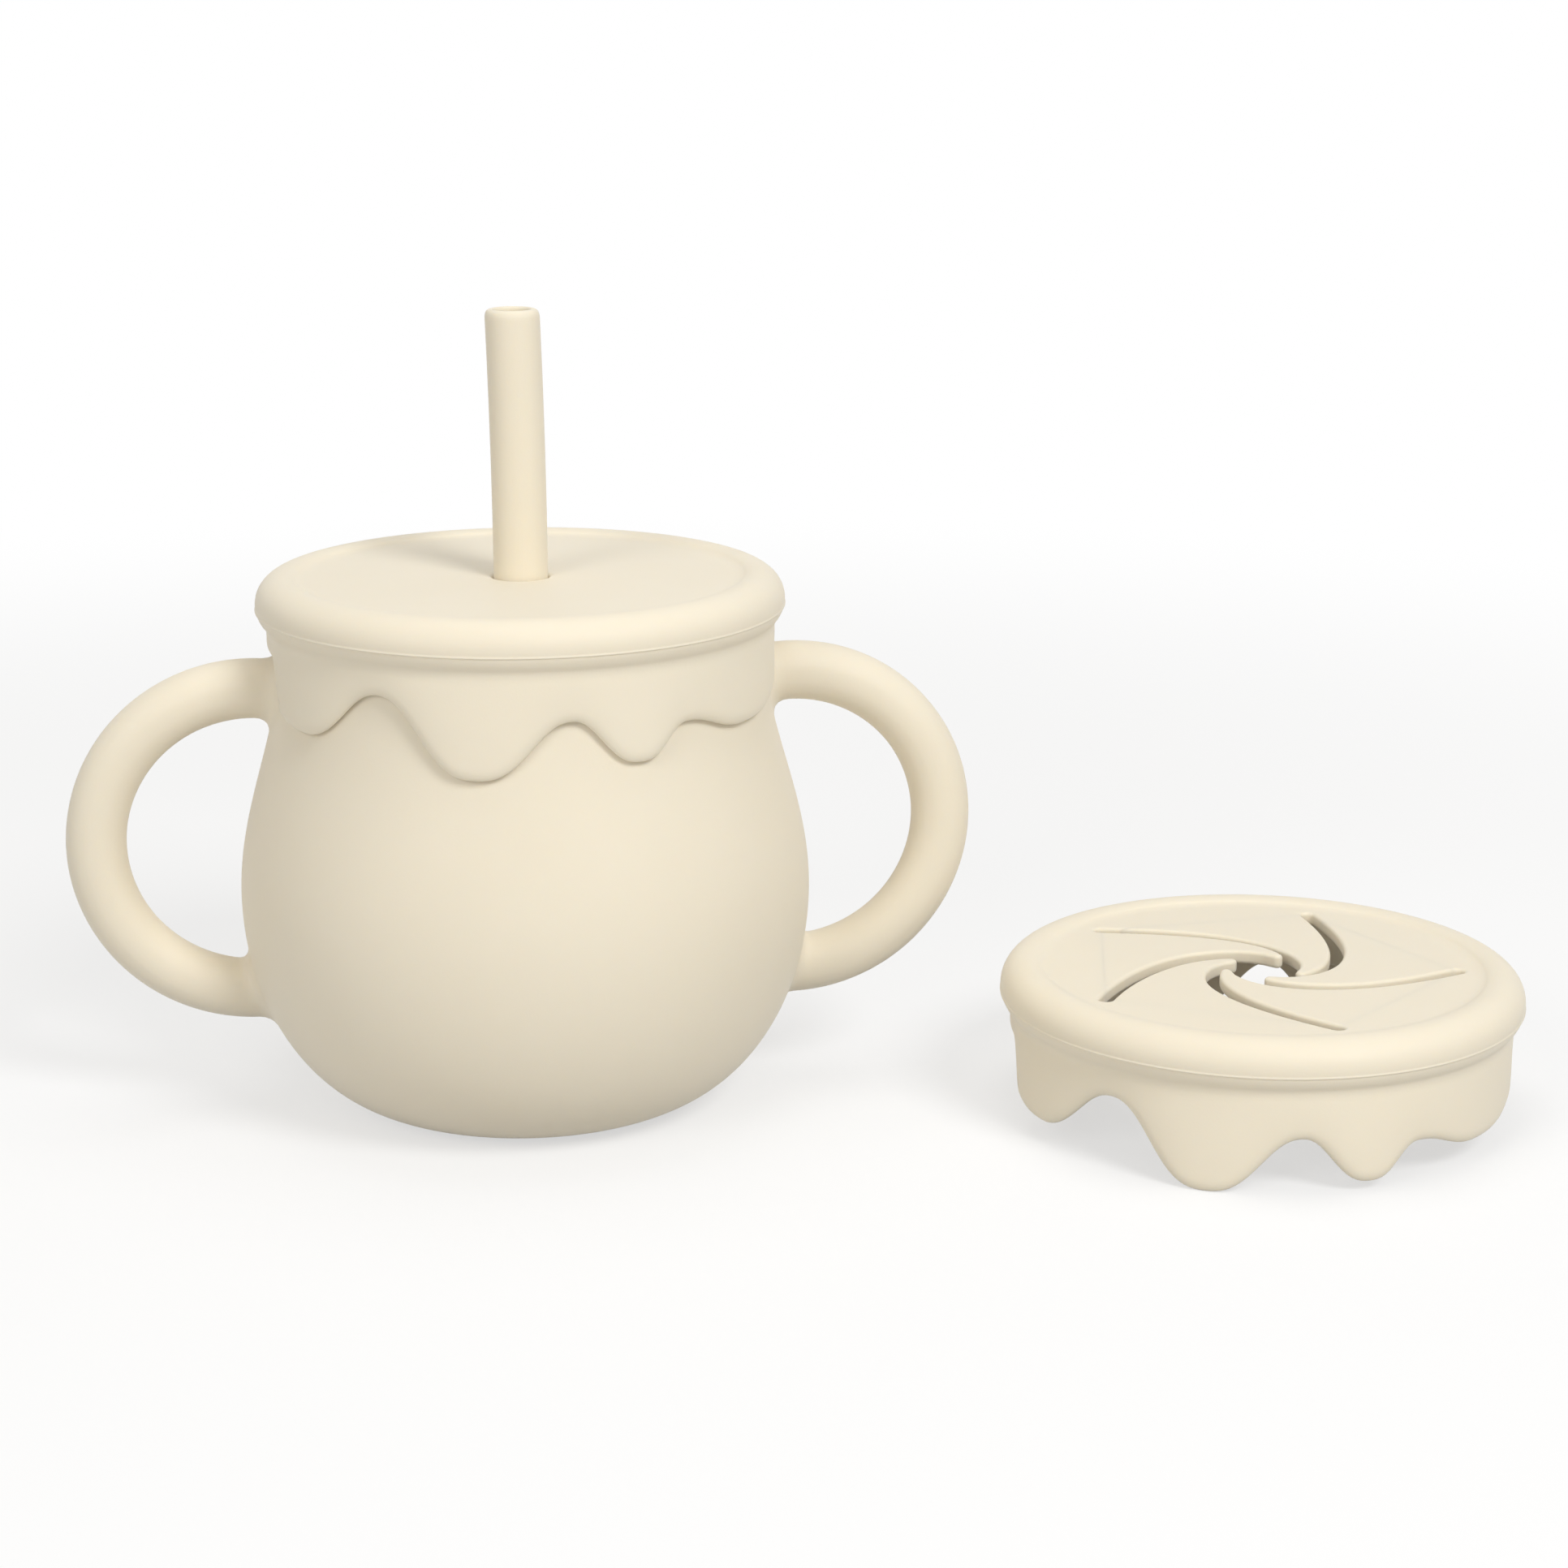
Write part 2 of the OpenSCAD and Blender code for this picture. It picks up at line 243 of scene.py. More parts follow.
def makeCup(material):
    # the outside is joined roughly, remeshed and drawn onto its true surface, then hollowed out
    p = potShape
    lip = p["wall"] / 2
    lipCentre = (p["neckRadius"] - lip, p["rim"] - lip)
    sideHeights = spread(p["bellyHeight"], p["neckHeight"], p["sideRows"])[1:]
    bm = bmesh.new()
    outside = [(0, 0), (p["baseRadius"] * p["centreShare"], 0)]
    heights = rising(0, p["bellyHeight"], p["sideRows"]) + sideHeights
    outside += [(potRadius(z), z) for z in heights]
    outside += arcPoints(lipCentre, lip, 0, 90, p["outerLipRows"]) + [(0, p["rim"])]
    spinProfile(bm, outside, p["columns"])
    body = newObject(bm, "potSolid")
    for side in (-1, 1):
        bm = bmesh.new()
        circle = bmesh.ops.create_circle(bm, segments=p["gripColumns"], radius=p["gripRadius"])
        bmesh.ops.translate(bm, vec=(p["loopRadius"], 0, 0), verts=circle["verts"])
        spinRound(bm, bm.verts[:] + bm.edges[:], p["loopColumns"], axis=(0, 1, 0))
        bmesh.ops.translate(bm, vec=(side * p["loopOut"], 0, p["loopHeight"]), verts=bm.verts)
        bmesh.ops.recalc_face_normals(bm, faces=bm.faces)
        combine(body, bm, "UNION")
    applyModifier(body, "REMESH", mode="VOXEL", voxel_size=p["voxel"])
    flat = np.empty(len(body.data.vertices) * 3, np.float32)
    body.data.vertices.foreach_get("co", flat)
    points = settleOn(cupDistance, flat.reshape(-1, 3).astype(float))
    body.data.vertices.foreach_set("co", points.astype(np.float32).ravel())
    body.data.update()

    bm = bmesh.new()
    hollow = [(0, p["floor"]), (p["baseRadius"] * p["centreShare"], p["floor"])]
    heights = rising(p["floor"], p["bellyHeight"], p["sideRows"]) + sideHeights
    hollow += [(hollowRadius(z), z) for z in heights]
    hollow += arcPoints(lipCentre, lip, 180, 90, p["innerLipRows"])
    above = p["rim"] + p["hollowAbove"]
    hollow += [(p["neckRadius"] - p["wall"] + lip, above), (0, above)]
    spinProfile(bm, hollow, p["columns"])
    combine(body, bm, "DIFFERENCE")
    finishPiece(takeBack(body), "cup", material, "cup",
                ("cup_pot", "left_handle", "right_handle"))


# the rolled edge, plug ring and dripping skirt that both lids share

lidShape = dict(
    plateThickness=2.2, plateEdge=33.5, plateEase=1.6, crestRise=0.9, columns=360,
    rollRadius=4.4, rollOut=3.5, rollStart=113, rollEnd=-42, partingTurn=-10.5, partingHeight=0.14,
    partingWidth=3.2, seatGap=0.1, seatRows=12, grooveHeight=79.4, easeRows=8, neckRows=6,
    plugThickness=2.0, plugDepth=7.0, plugGap=0.3, plugDrop=0.4, plugRound=0.6, plugEase=1.2,
    cornerRows=4, bendRows=5, skirtThickness=1.5, skirtGap=0.35, skirtRoot=77.7, neckBend=78.9,
    skirtRows=12, lastRow=2.5, followHeight=3.0, swell=0.7, dripLong=20.0, dripShort=8.4,
    dripFullness=1.15, slopeStep=0.4, roomShare=0.75, archTop=74.95, archFlat=9.0, archEnd=18.5,
    roundHeight=1.9, roundDepth=1.05, innerRound=0.45, roundSteps=8,
)
lidShape["crest"] = boxOf("straw_lid")[1].z
lidShape["plate"] = lidShape["crest"] - lidShape["crestRise"]
lidShape["under"] = lidShape["plate"] - lidShape["plateThickness"]

# first angle, last angle and steps of the roll above and below the parting line
rollAbove = (108, -6, 22)
rollBelow = (-17, -40, 6)

# the parting line's section: shares of its width and of its height
partingLine = [(-1.0, 0), (-0.55, 0.6), (-0.2, 1), (0.2, 1), (0.55, 0.55), (1.0, -0.25)]

# angle from the front towards the right handle, and how far the edge comes down there: 0 is the
# shortest drip, 1 the longest
dripTurns = [
    (-90, 0.22), (-60.2, 0.69), (-38, 0), (-14.4, 1), (6.2, 0.27), (21, 0.86), (33.9, 0.44),
    (52.6, 0.66), (90, 0.2), (122, 1), (141, 0.25), (157, 0.8), (174, 0), (192, 0.7), (206, 0.3),
    (224, 1), (270, 0.22),
]


def dripWave(u):
    # from 0 to 1, level at both ends: halfway between a cosine and a steeper step
    v = u ** lidShape["dripFullness"]
    return (1 - cos(pi * v)) / 4 + v ** 3 * (10 - 15 * v + 6 * v * v) / 2


def dripShare(angle):
    for (start, a), (end, b) in zip(dripTurns, dripTurns[1:]):
        if angle <= end:
            u = min(1, max(0, (angle - start) / (end - start)))
            return a + (b - a) * dripWave(u) if a > b else b + (a - b) * dripWave(1 - u)
    return dripTurns[-1][1]


def dripEdge(angle):
    # height of the skirt's edge at an angle in degrees, with an arch over each handle
    s = lidShape
    angle = (angle + 90) % 360 - 90
    drip = potShape["rim"] - s["dripShort"] - (s["dripLong"] - s["dripShort"]) * dripShare(angle)
    off = min(abs(angle - side) for side in (-90, 90, 270))
    lift = smoothStep((s["archEnd"] - off) / (s["archEnd"] - s["archFlat"]))
    return drip + (s["archTop"] - drip) * lift


def edgeRounding():
    # the skirt's round lower edge: height above the edge, and depth from the outer face; the
    # inner side has half as many points
    s = lidShape
    turns = [pi / 2 * i / s["roundSteps"] for i in range(s["roundSteps"] + 1)]
    outer = [(s["roundHeight"] * (1 - sin(t)), s["roundDepth"] * (1 - cos(t))) for t in turns]
    back, small = s["skirtThickness"], s["innerRound"]
    inner = [(small * (1 - sin(t)), back - small * (1 - cos(t))) for t in turns]
    return outer + inner[::-2]


def lidShell(bm, closing):
    # closing holds the section's last (r, z) points: a whole plate from its underside to its top, or
    # the one point where another plate joins
    s, p = lidShape, potShape
    plate, under, root = s["plate"], s["under"], s["skirtRoot"]
    rollR, rollZ = p["neckRadius"] + s["rollOut"] - s["rollRadius"], s["crest"] - s["rollRadius"]
    wallIn = p["neckRadius"] + s["skirtGap"]
    wallOut = wallIn + s["skirtThickness"]
    plugOut = p["neckRadius"] - p["wall"] - s["plugGap"]
    plugIn = plugOut - s["plugThickness"]
    plugLow = under - s["plugDepth"]
    lip = p["wall"] / 2

    def onRoll(angle, rise=0.0):
        r = s["rollRadius"] + rise
        return (rollR + r * cos(radians(angle)), rollZ + r * sin(radians(angle)))

    section = bendPoints((s["plateEdge"], plate), (s["plateEdge"] + s["plateEase"], plate),
                         onRoll(s["rollStart"]), s["easeRows"])
    section += [onRoll(a) for a in spread(*rollAbove)]
    for off, rise in partingLine:
        angle = s["partingTurn"] - off * s["partingWidth"]
        section.append(onRoll(angle, rise * s["partingHeight"]))
    section += [onRoll(a) for a in spread(*rollBelow)]
    section += bendPoints(onRoll(s["rollEnd"]), (wallOut, s["neckBend"]), (wallOut, root),
                          s["neckRows"])[1:]

    # the skirt hangs straight at first, down to the longest drip
    rows = [i / s["skirtRows"] for i in range(1, s["skirtRows"] + 1)]
    rounding = edgeRounding()
    low = p["rim"] - s["dripLong"]
    heights = [root + (low + s["lastRow"] - root) * row for row in rows]
    skirtStart = len(section)
    section += [(wallOut, z) for z in heights]
    section += [(wallOut - depth, low + off) for off, depth in rounding]
    section += [(wallIn, z) for z in reversed(heights)]
    skirtEnd = len(section)

    section += [(wallIn, root), (wallIn, s["grooveHeight"])]
    section += arcPoints((p["neckRadius"] - lip, p["rim"] - lip), lip + s["seatGap"], 0, 180,
                         s["seatRows"])
    section += [(plugOut, p["rim"] - lip - s["plugDrop"])]
    corner, ease = s["plugRound"], s["plugEase"]
    section += arcPoints((plugOut - corner, plugLow + corner), corner, 0, -90, s["cornerRows"])
    section += arcPoints((plugIn + corner, plugLow + corner), corner, -90, -180, s["cornerRows"])
    section += bendPoints((plugIn, under - ease), (plugIn, under), (plugIn - ease, under),
                          s["bendRows"])
    section += closing

    # the tags say where on the skirt a point is: its row, from 0 at the root to 1, or roundingRow
    roundingRow = 2
    rowTag = bm.verts.layers.float.new("row")
    depthTag = bm.verts.layers.float.new("depth")
    offTag = bm.verts.layers.float.new("off")
    verts, edges = chain(bm, [(r, 0, z) for r, z in section], closed=len(closing) > 1)
    for i, row in enumerate(rows):
        verts[skirtStart + i][rowTag] = verts[skirtEnd - 1 - i][rowTag] = row
        verts[skirtEnd - 1 - i][depthTag] = s["skirtThickness"]
    for i, (off, depth) in enumerate(rounding):
        v = verts[skirtStart + len(rows) + i]
        v[rowTag], v[offTag], v[depthTag] = roundingRow, off, depth
    spinRound(bm, verts + edges, s["columns"])
    closeSeams(bm)

    # the rows are drawn to the dripping edge, and the rounding stands square to that edge
    step = s["slopeStep"]
    for v in bm.verts:
        row, depth = v[rowTag], v[depthTag]
        if not row:
            continue
        turn = atan2(v.co.x, -v.co.y)
        angle = degrees(turn)
        edge = dripEdge(angle)
        slope = (dripEdge(angle + step) - dripEdge(angle - step)) / (wallOut * radians(2 * step))
        stretch = sqrt(1 + slope * slope)
        room = min(1, s["roomShare"] * (root - edge) / (s["lastRow"] * stretch))
        if row == roundingRow:
            off = v[offTag] * room / stretch
            turn -= slope * off / wallOut
            z = edge + off
        else:
            z = root + (edge + s["lastRow"] * room * stretch - root) * row
        edge = dripEdge(degrees(turn))
        share = max(0, (p["rim"] - s["dripShort"] - edge) / (s["dripLong"] - s["dripShort"]))
        follow = smoothStep((root - z) / s["followHeight"])
        plump = s["swell"] * share * sin(pi * min(1, max(0, (root - z) / (root - edge))))
        r = potRadius(z) * follow + p["neckRadius"] * (1 - follow) + s["skirtGap"]
        r += (s["skirtThickness"] - depth) * (1 + plump / s["skirtThickness"])
        v.co = (r * sin(turn), -r * cos(turn), z)


# the soft straw, with the foot that stops it under the lid, and the straw lid with its collar

strawShape = dict(
    radius=4.3, boreRadius=2.8, footRadius=6.5, gap=0.08, leanFrom=90.0, lean=0.6, columns=64,
    tubeRows=40, boreTop=1.2, boreFoot=0.4, tubeFoot=6.0, tubeTop=2.4, boreRound=0.3, footRound=0.5,
    inletWidth=2.4, inletHeight=1.6, inletLength=26.0, inletBelow=1.0, smoothAngle=50,
    collarWall=2.2, collarLength=5.0, collarEase=1.2, collarRound=0.6, collarHoleRound=0.4,
    holeRound=0.8, holeFrom=1.5, holeTo=0.4, holeEdge=0.3, cornerRows=4, smallRows=3, bendRows=5,
    underRings=(26, 18, 11), topRings=(10, 18, 26, 31.5),
)

# soft corners of the straw as steps in (r, z) from the foot's and the tube's outside at the foot, and
# from the tube's outside and the bore at the tip, with the number of rows
footBend = ((0, 1.2), (-0.2, 1.8), (-0.8, 2.1), 4)
tubeBend = ((0.9, 2.7), (0, 3.0), (0, 4.2), 5)
tipBend = ((0, -1.5), (0, 0), (-1.0, 0), 7)
boreBend = ((0.45, 0), (0, 0), (0, -0.8), 4)


def makeStrawLid(material):
    s, plate, under = strawShape, lidShape["plate"], lidShape["under"]
    hole = s["radius"] + s["gap"]
    collar = hole + s["collarWall"]
    bottom = under - s["collarLength"]
    ease, corner, inner, top = (s[key] for key in
                                ("collarEase", "collarRound", "collarHoleRound", "holeRound"))
    closing = [(r, under) for r in s["underRings"]]
    closing += bendPoints((collar + ease, under), (collar, under), (collar, under - ease),
                          s["bendRows"])
    closing += arcPoints((collar - corner, bottom + corner), corner, 0, -90, s["cornerRows"])
    closing += arcPoints((hole + inner, bottom + inner), inner, -90, -180, s["smallRows"])
    straight = spread(bottom + s["holeFrom"], plate - top - s["holeTo"], s["bendRows"])
    closing += [(hole, z) for z in straight]
    closing += arcPoints((hole + top, plate - top), top, 180, 90, s["bendRows"])
    closing += [(r, plate) for r in (hole + top + s["holeEdge"], *s["topRings"])]
    bm = bmesh.new()
    lidShell(bm, closing)
    finishPiece(bm, "strawLid", material, "straw_lid", ("straw_lid",))


def makeStraw(material):
    s = strawShape
    bore, tube, foot = s["boreRadius"], s["radius"], s["footRadius"]
    low, high = (v.z for v in boxOf("straw"))

    def bend(r, z, corner):
        *steps, rows = corner
        return bendPoints(*[(r + dr, z + dz) for dr, dz in steps], rows)

    small, large = s["boreRound"], s["footRound"]
    profile = [(bore, z) for z in spread(high - s["boreTop"], low + s["boreFoot"], s["tubeRows"])]
    profile += arcPoints((bore + small, low + small), small, 180, 270, s["smallRows"])
    profile += arcPoints((foot - large, low + large), large, -90, 0, s["cornerRows"])
    profile += bend(foot, low, footBend) + bend(tube, low, tubeBend)
    straight = spread(low + s["tubeFoot"], high - s["tubeTop"], s["tubeRows"])
    profile += [(tube, z) for z in straight]
    profile += bend(tube, high, tipBend) + bend(bore, high, boreBend)
    bm = bmesh.new()
    spinProfile(bm, profile, s["columns"], closed=True)
    straw = newObject(bm, "strawTube")

    # two slots across the foot let the drink in
    height, below = s["inletHeight"], s["inletBelow"]
    for turn in (0, 90):
        bm = bmesh.new()
        bmesh.ops.create_cube(bm, size=1)
        size = (s["inletLength"], s["inletWidth"], height + below)
        bmesh.ops.scale(bm, vec=size, verts=bm.verts)
        bmesh.ops.translate(bm, vec=(0, 0, low + (height - below) / 2), verts=bm.verts)
        across = Matrix.Rotation(radians(turn), 3, "Z")
        bmesh.ops.rotate(bm, cent=(0, 0, 0), matrix=across, verts=bm.verts)
        combine(straw, bm, "DIFFERENCE")
    bm = takeBack(straw)
    for v in bm.verts:
        if v.co.z > s["leanFrom"]:
            v.co.x -= s["lean"] * ((v.co.z - s["leanFrom"]) / (high - s["leanFrom"])) ** 2
    finishPiece(bm, "softStraw", material, "straw", ("straw",),
                smoothAngle=s["smoothAngle"])


# the snack lid's top: five curved slits leave five flaps

flapShape = dict(
    count=5, slitOut=31.3, slitWidth=2.2, slitTurn=42.0, slitEase=0.12, slitStep=0.05, tipRound=0.9,
    tipSearch=(14, 3, 1100), tipTouch=0.02, sidePoints=30, tipPoints=12, capPoints=8,
    lidTurn=-13.0, edgeRound=0.6, edgeSteps=5, cutterReach=1.0, support=0.12, upright=0.1,
    level=0.999, margin=0.1, near=0.02, joinDistance=0.01, cutDistance=1e-4, bendLength=8.0,
    firstSlice=1.0, sliceStep=1.2, crossStep=2.4, crossShift=0.3, crossCount=14,
    rest=(0.35, -0.3, 0.4, -0.25, 0.3), restReach=30.0, twist=0.012, twistReach=20.0,
)


def slitMiddle(r):
    f = flapShape
    q = f["slitOut"] / r - 1
    turn = radians(f["slitTurn"] * q / (1 + f["slitEase"] * q))
    return Vector((r * cos(turn), -r * sin(turn)))


def slitSide(r, side, off=flapShape["slitWidth"] / 2):
    along = slitMiddle(r - flapShape["slitStep"]) - slitMiddle(r)
    across = Vector((-along.y, along.x)).normalized()
    return slitMiddle(r) + across * side * off


def turned(point, angle):
    return Matrix.Rotation(radians(angle), 2) @ point


def tipCircle():
    # the round tip of a flap touches both of its sides: its centre, and how far in each side runs
    f = flapShape
    off = f["slitWidth"] / 2 + f["tipRound"]
    radii = spread(*f["tipSearch"])
    ahead = np.array([slitSide(r, -1, off) for r in radii])
    behind = np.array([turned(slitSide(r, 1, off), 360 / f["count"]) for r in radii])
    gaps = np.linalg.norm(ahead[:, None] - behind[None], axis=2)
    i = int(np.argmax(gaps.min(1) < f["tipTouch"]))
    return Vector(ahead[i]), radii[i], radii[int(gaps[i].argmin())]


def slitOutline():
    # closed outline of the opening that the slits and the eye make together
    f = flapShape
    step = 360 / f["count"]
    tip, endAhead, endBehind = tipCircle()
    here = [slitSide(r, -1) for r in spread(f["slitOut"], endAhead, f["sidePoints"])]
    there = [turned(slitSide(r, 1), step) for r in spread(f["slitOut"], endBehind, f["sidePoints"])]
    start, end = here[-1] - tip, there[-1] - tip
    sweep = (degrees(atan2(end.y, end.x) - atan2(start.y, start.x)) - 360) % -360
    bend = [tip + turned(start, sweep * i / f["tipPoints"]) for i in range(1, f["tipPoints"])]
    centre = turned(slitMiddle(f["slitOut"]), step)
    cap = [centre + turned(there[0] - centre, 180 * i / f["capPoints"])
           for i in range(1, f["capPoints"])]
    fifth = here + bend + there[::-1] + cap
    return [turned(Vector(q), step * k) for k in range(f["count"]) for q in fifth]


def insetOutline(points, depth):
    # the outline moved into the plate
    count = len(points)
    out = []
    for i, q in enumerate(points):
        along = points[(i + 1) % count] - points[i - 1]
        out.append(q + Vector((along.y, -along.x)).normalized() * depth)
    return out


def makePlate():
    # the flat top as a disc, with the slits cut out by a solid that flares at both faces
    f, s = flapShape, lidShape
    plate, under, e = s["plate"], s["under"], f["edgeRound"]
    levels = [(e, plate + f["cutterReach"])]
    turns = spread(0, pi / 2, f["edgeSteps"])
    levels += [(e * (1 - sin(t)), plate - e * (1 - cos(t))) for t in turns]
    levels += [(depth, plate + under - z) for depth, z in reversed(levels)]
    outline = slitOutline()
    cutter = bmesh.new()
    loops = [chain(cutter, [(*q, z) for q in insetOutline(outline, depth)], closed=True)[1]
             for depth, z in levels]
    for upper, lower in zip(loops, loops[1:]):
        bmesh.ops.bridge_loops(cutter, edges=upper + lower)
    for loop in (loops[0], loops[-1]):
        bmesh.ops.edgeloop_fill(cutter, edges=loop)
    bmesh.ops.recalc_face_normals(cutter, faces=cutter.faces)

    bm = bmesh.new()
    bmesh.ops.create_circle(bm, cap_ends=True, segments=s["columns"], radius=s["plateEdge"])
    bmesh.ops.translate(bm, vec=(0, 0, under), verts=bm.verts)
    made = bmesh.ops.extrude_face_region(bm, geom=bm.faces[:])["geom"]
    top = [g for g in made if isinstance(g, bmesh.types.BMVert)]
    bmesh.ops.translate(bm, vec=(0, 0, plate - under), verts=top)
    bmesh.ops.recalc_face_normals(bm, faces=bm.faces)
    disc = newObject(bm, "plateDisc")
    combine(disc, cutter, "DIFFERENCE", solver="MANIFOLD")
    bm = takeBack(disc)

    # the disc's own side goes, and a narrow band of faces holds the flat parts flat
    outside = s["plateEdge"] - f["margin"]
    side = [face for face in bm.faces if abs(face.normal.z) < f["upright"]
            and face.calc_center_median().xy.length > outside]
    bmesh.ops.delete(bm, geom=side, context="FACES")
    for z in (plate, under):
        flat = [face for face in bm.faces if abs(face.normal.z) > f["level"]
                and abs(face.calc_center_median().z - z) < weldDistance]
        bmesh.ops.inset_region(bm, faces=flat, thickness=f["support"], use_boundary=True,
                               use_even_offset=True)
    return bm


def chordNormal(k):
    # level direction from the middle of the lid to the middle of a flap's root
    middle = radians(360 / flapShape["count"] * (k + 0.5))
    return Vector((cos(middle), sin(middle), 0))


def chordDistance():
    return flapShape["slitOut"] * cos(pi / flapShape["count"])


def cutThrough(bm, point, normal):
    # a row of edges where a plane meets the mesh; fromkeys drops repeats and keeps the order
    geom = bm.faces[:]
    geom += dict.fromkeys(e for face in bm.faces for e in face.edges)
    geom += dict.fromkeys(v for face in bm.faces for v in face.verts)
    bmesh.ops.bisect_plane(bm, geom=geom, dist=flapShape["cutDistance"], plane_co=point,
                           plane_no=normal)


def makeSnackLid(material):
    f, s = flapShape, lidShape
    low, high = boxOf("snack_lid")
    middle = ((low.x + high.x) / 2, (low.y + high.y) / 2, high.z - s["crest"])
    place = Matrix.Translation(middle) @ Matrix.Rotation(radians(f["lidTurn"]), 4, "Z")
    reach = chordDistance()
    normals = [chordNormal(k) for k in range(f["count"])]
    top = makePlate()
    for n in normals:
        cutThrough(top, n * reach, n)

    def onFlap(face):
        centre = face.calc_center_median()
        return all(centre.dot(n) < reach for n in normals)

    flapFaces = {i for i, face in enumerate(top.faces) if onFlap(face)}
    plateMesh = bpy.data.meshes.new("plate")
    top.to_mesh(plateMesh)
    top.free()

    # the ring outside the flaps: its outer points go to the columns of the shell that they join, and
    # its open roots are closed
    ring = partOf(plateMesh, lambda i: i not in flapFaces)
    outer = [v for v in ring.verts if v.co.xy.length > s["plateEdge"] - f["near"]]
    column = {v: degrees(atan2(v.co.y, v.co.x)) * s["columns"] / 360 for v in outer}
    fixed = [v for v in outer if abs(column[v] - round(column[v])) < f["near"]]
    loose = [v for v in outer if v not in fixed]
    nearest = {v: min(fixed, key=lambda w: (w.co - v.co).length) for v in loose}
    bmesh.ops.weld_verts(ring, targetmap=nearest)
    inside = s["plateEdge"] - f["margin"]
    roots = [e for e in ring.edges if e.is_boundary
             and (e.verts[0].co.xy.length + e.verts[1].co.xy.length) / 2 < inside]
    bmesh.ops.holes_fill(ring, edges=roots, sides=0)
    ringMesh = bpy.data.meshes.new("flapRing")
    ring.to_mesh(ringMesh)
    ring.free()

    bm = bmesh.new()
    lidShell(bm, [(s["plateEdge"], s["under"])])
    bm.from_mesh(ringMesh)
    closeSeams(bm, f["joinDistance"])
    bmesh.ops.transform(bm, matrix=place, verts=bm.verts)
    finishPiece(bm, "snackLid", material, "snack_lid", ("snack_lid",))

    # the flaps come apart, and each is known by the chord that most of its open edges lie on
    flaps = partOf(plateMesh, lambda i: i in flapFaces)
    flaps.faces.index_update()
    islands, seen = [], set()
    for start in flaps.faces:
        if start.index in seen:
            continue
        island, front = set(), [start]
        while front:
            face = front.pop()
            if face.index not in island:
                island.add(face.index)
                front += [g for e in face.edges for g in e.link_faces]
        seen |= island
        islands.append(island)
    print("flap islands", len(islands))
    flapMesh = bpy.data.meshes.new("flaps")
    flaps.to_mesh(flapMesh)
    flaps.free()
    found = {}
    for island in islands:
        bm = partOf(flapMesh, lambda i: i in island)
        ends = [e.verts[0].co for e in bm.edges if e.is_boundary]
        onChord = [sum(abs(co.dot(n) - reach) < f["joinDistance"] for co in ends) for n in normals]
        found[onChord.index(max(onChord))] = bm
    for k in range(f["count"]):
        makeFlap(found[k], k, place, material)


def makeFlap(bm, k, place, material):
    # one flap, sliced across and along, and given a slight sag and twist as it rests
    f = flapShape
    n, reach = chordNormal(k), chordDistance()
    along = Vector((-n.y, n.x, 0))
    bmesh.ops.holes_fill(bm, edges=[e for e in bm.edges if e.is_boundary], sides=0)
    bmesh.ops.recalc_face_normals(bm, faces=bm.faces)
    depth = f["firstSlice"]
    while depth < 2 * reach:
        cutThrough(bm, n * (reach - depth), n)
        depth += f["sliceStep"]
    for j in range(-f["crossCount"], f["crossCount"] + 1):
        cutThrough(bm, along * (j * f["crossStep"] + f["crossShift"]), along)
    for v in bm.verts:
        inside = reach - v.co.dot(n)
        rest = f["rest"][k] * smoothStep(inside / f["restReach"])
        v.co.z += rest + f["twist"] * v.co.dot(along) * smoothStep(inside / f["twistReach"])
    bmesh.ops.transform(bm, matrix=place, verts=bm.verts)
    node = f"snack_flap_{k + 1}"
    piece = finishPiece(bm, f"snackFlap{k + 1}", material, None, (node,))
    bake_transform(piece)


# cream silicone, matt and slightly cloudy

siliconeLook = dict(
    pale=(0.868, 0.795, 0.648), deep=(0.846, 0.768, 0.616), cloudScale=45.0, cloudDetail=3,
    roughLow=0.48, roughHigh=0.60, waveScale=160.0, waveDepth=0.00006, waveStrength=0.5,
    grainScale=2600.0, grainDepth=0.00002, grainStrength=0.6, grainRough=0.6, fineDetail=2,
    ior=1.41, shine=0.42, sheen=0.10, sheenRough=0.5, scatter=0.2, scatterTint=(1.0, 0.8, 0.5),
    scatterDepth=0.0015,
)


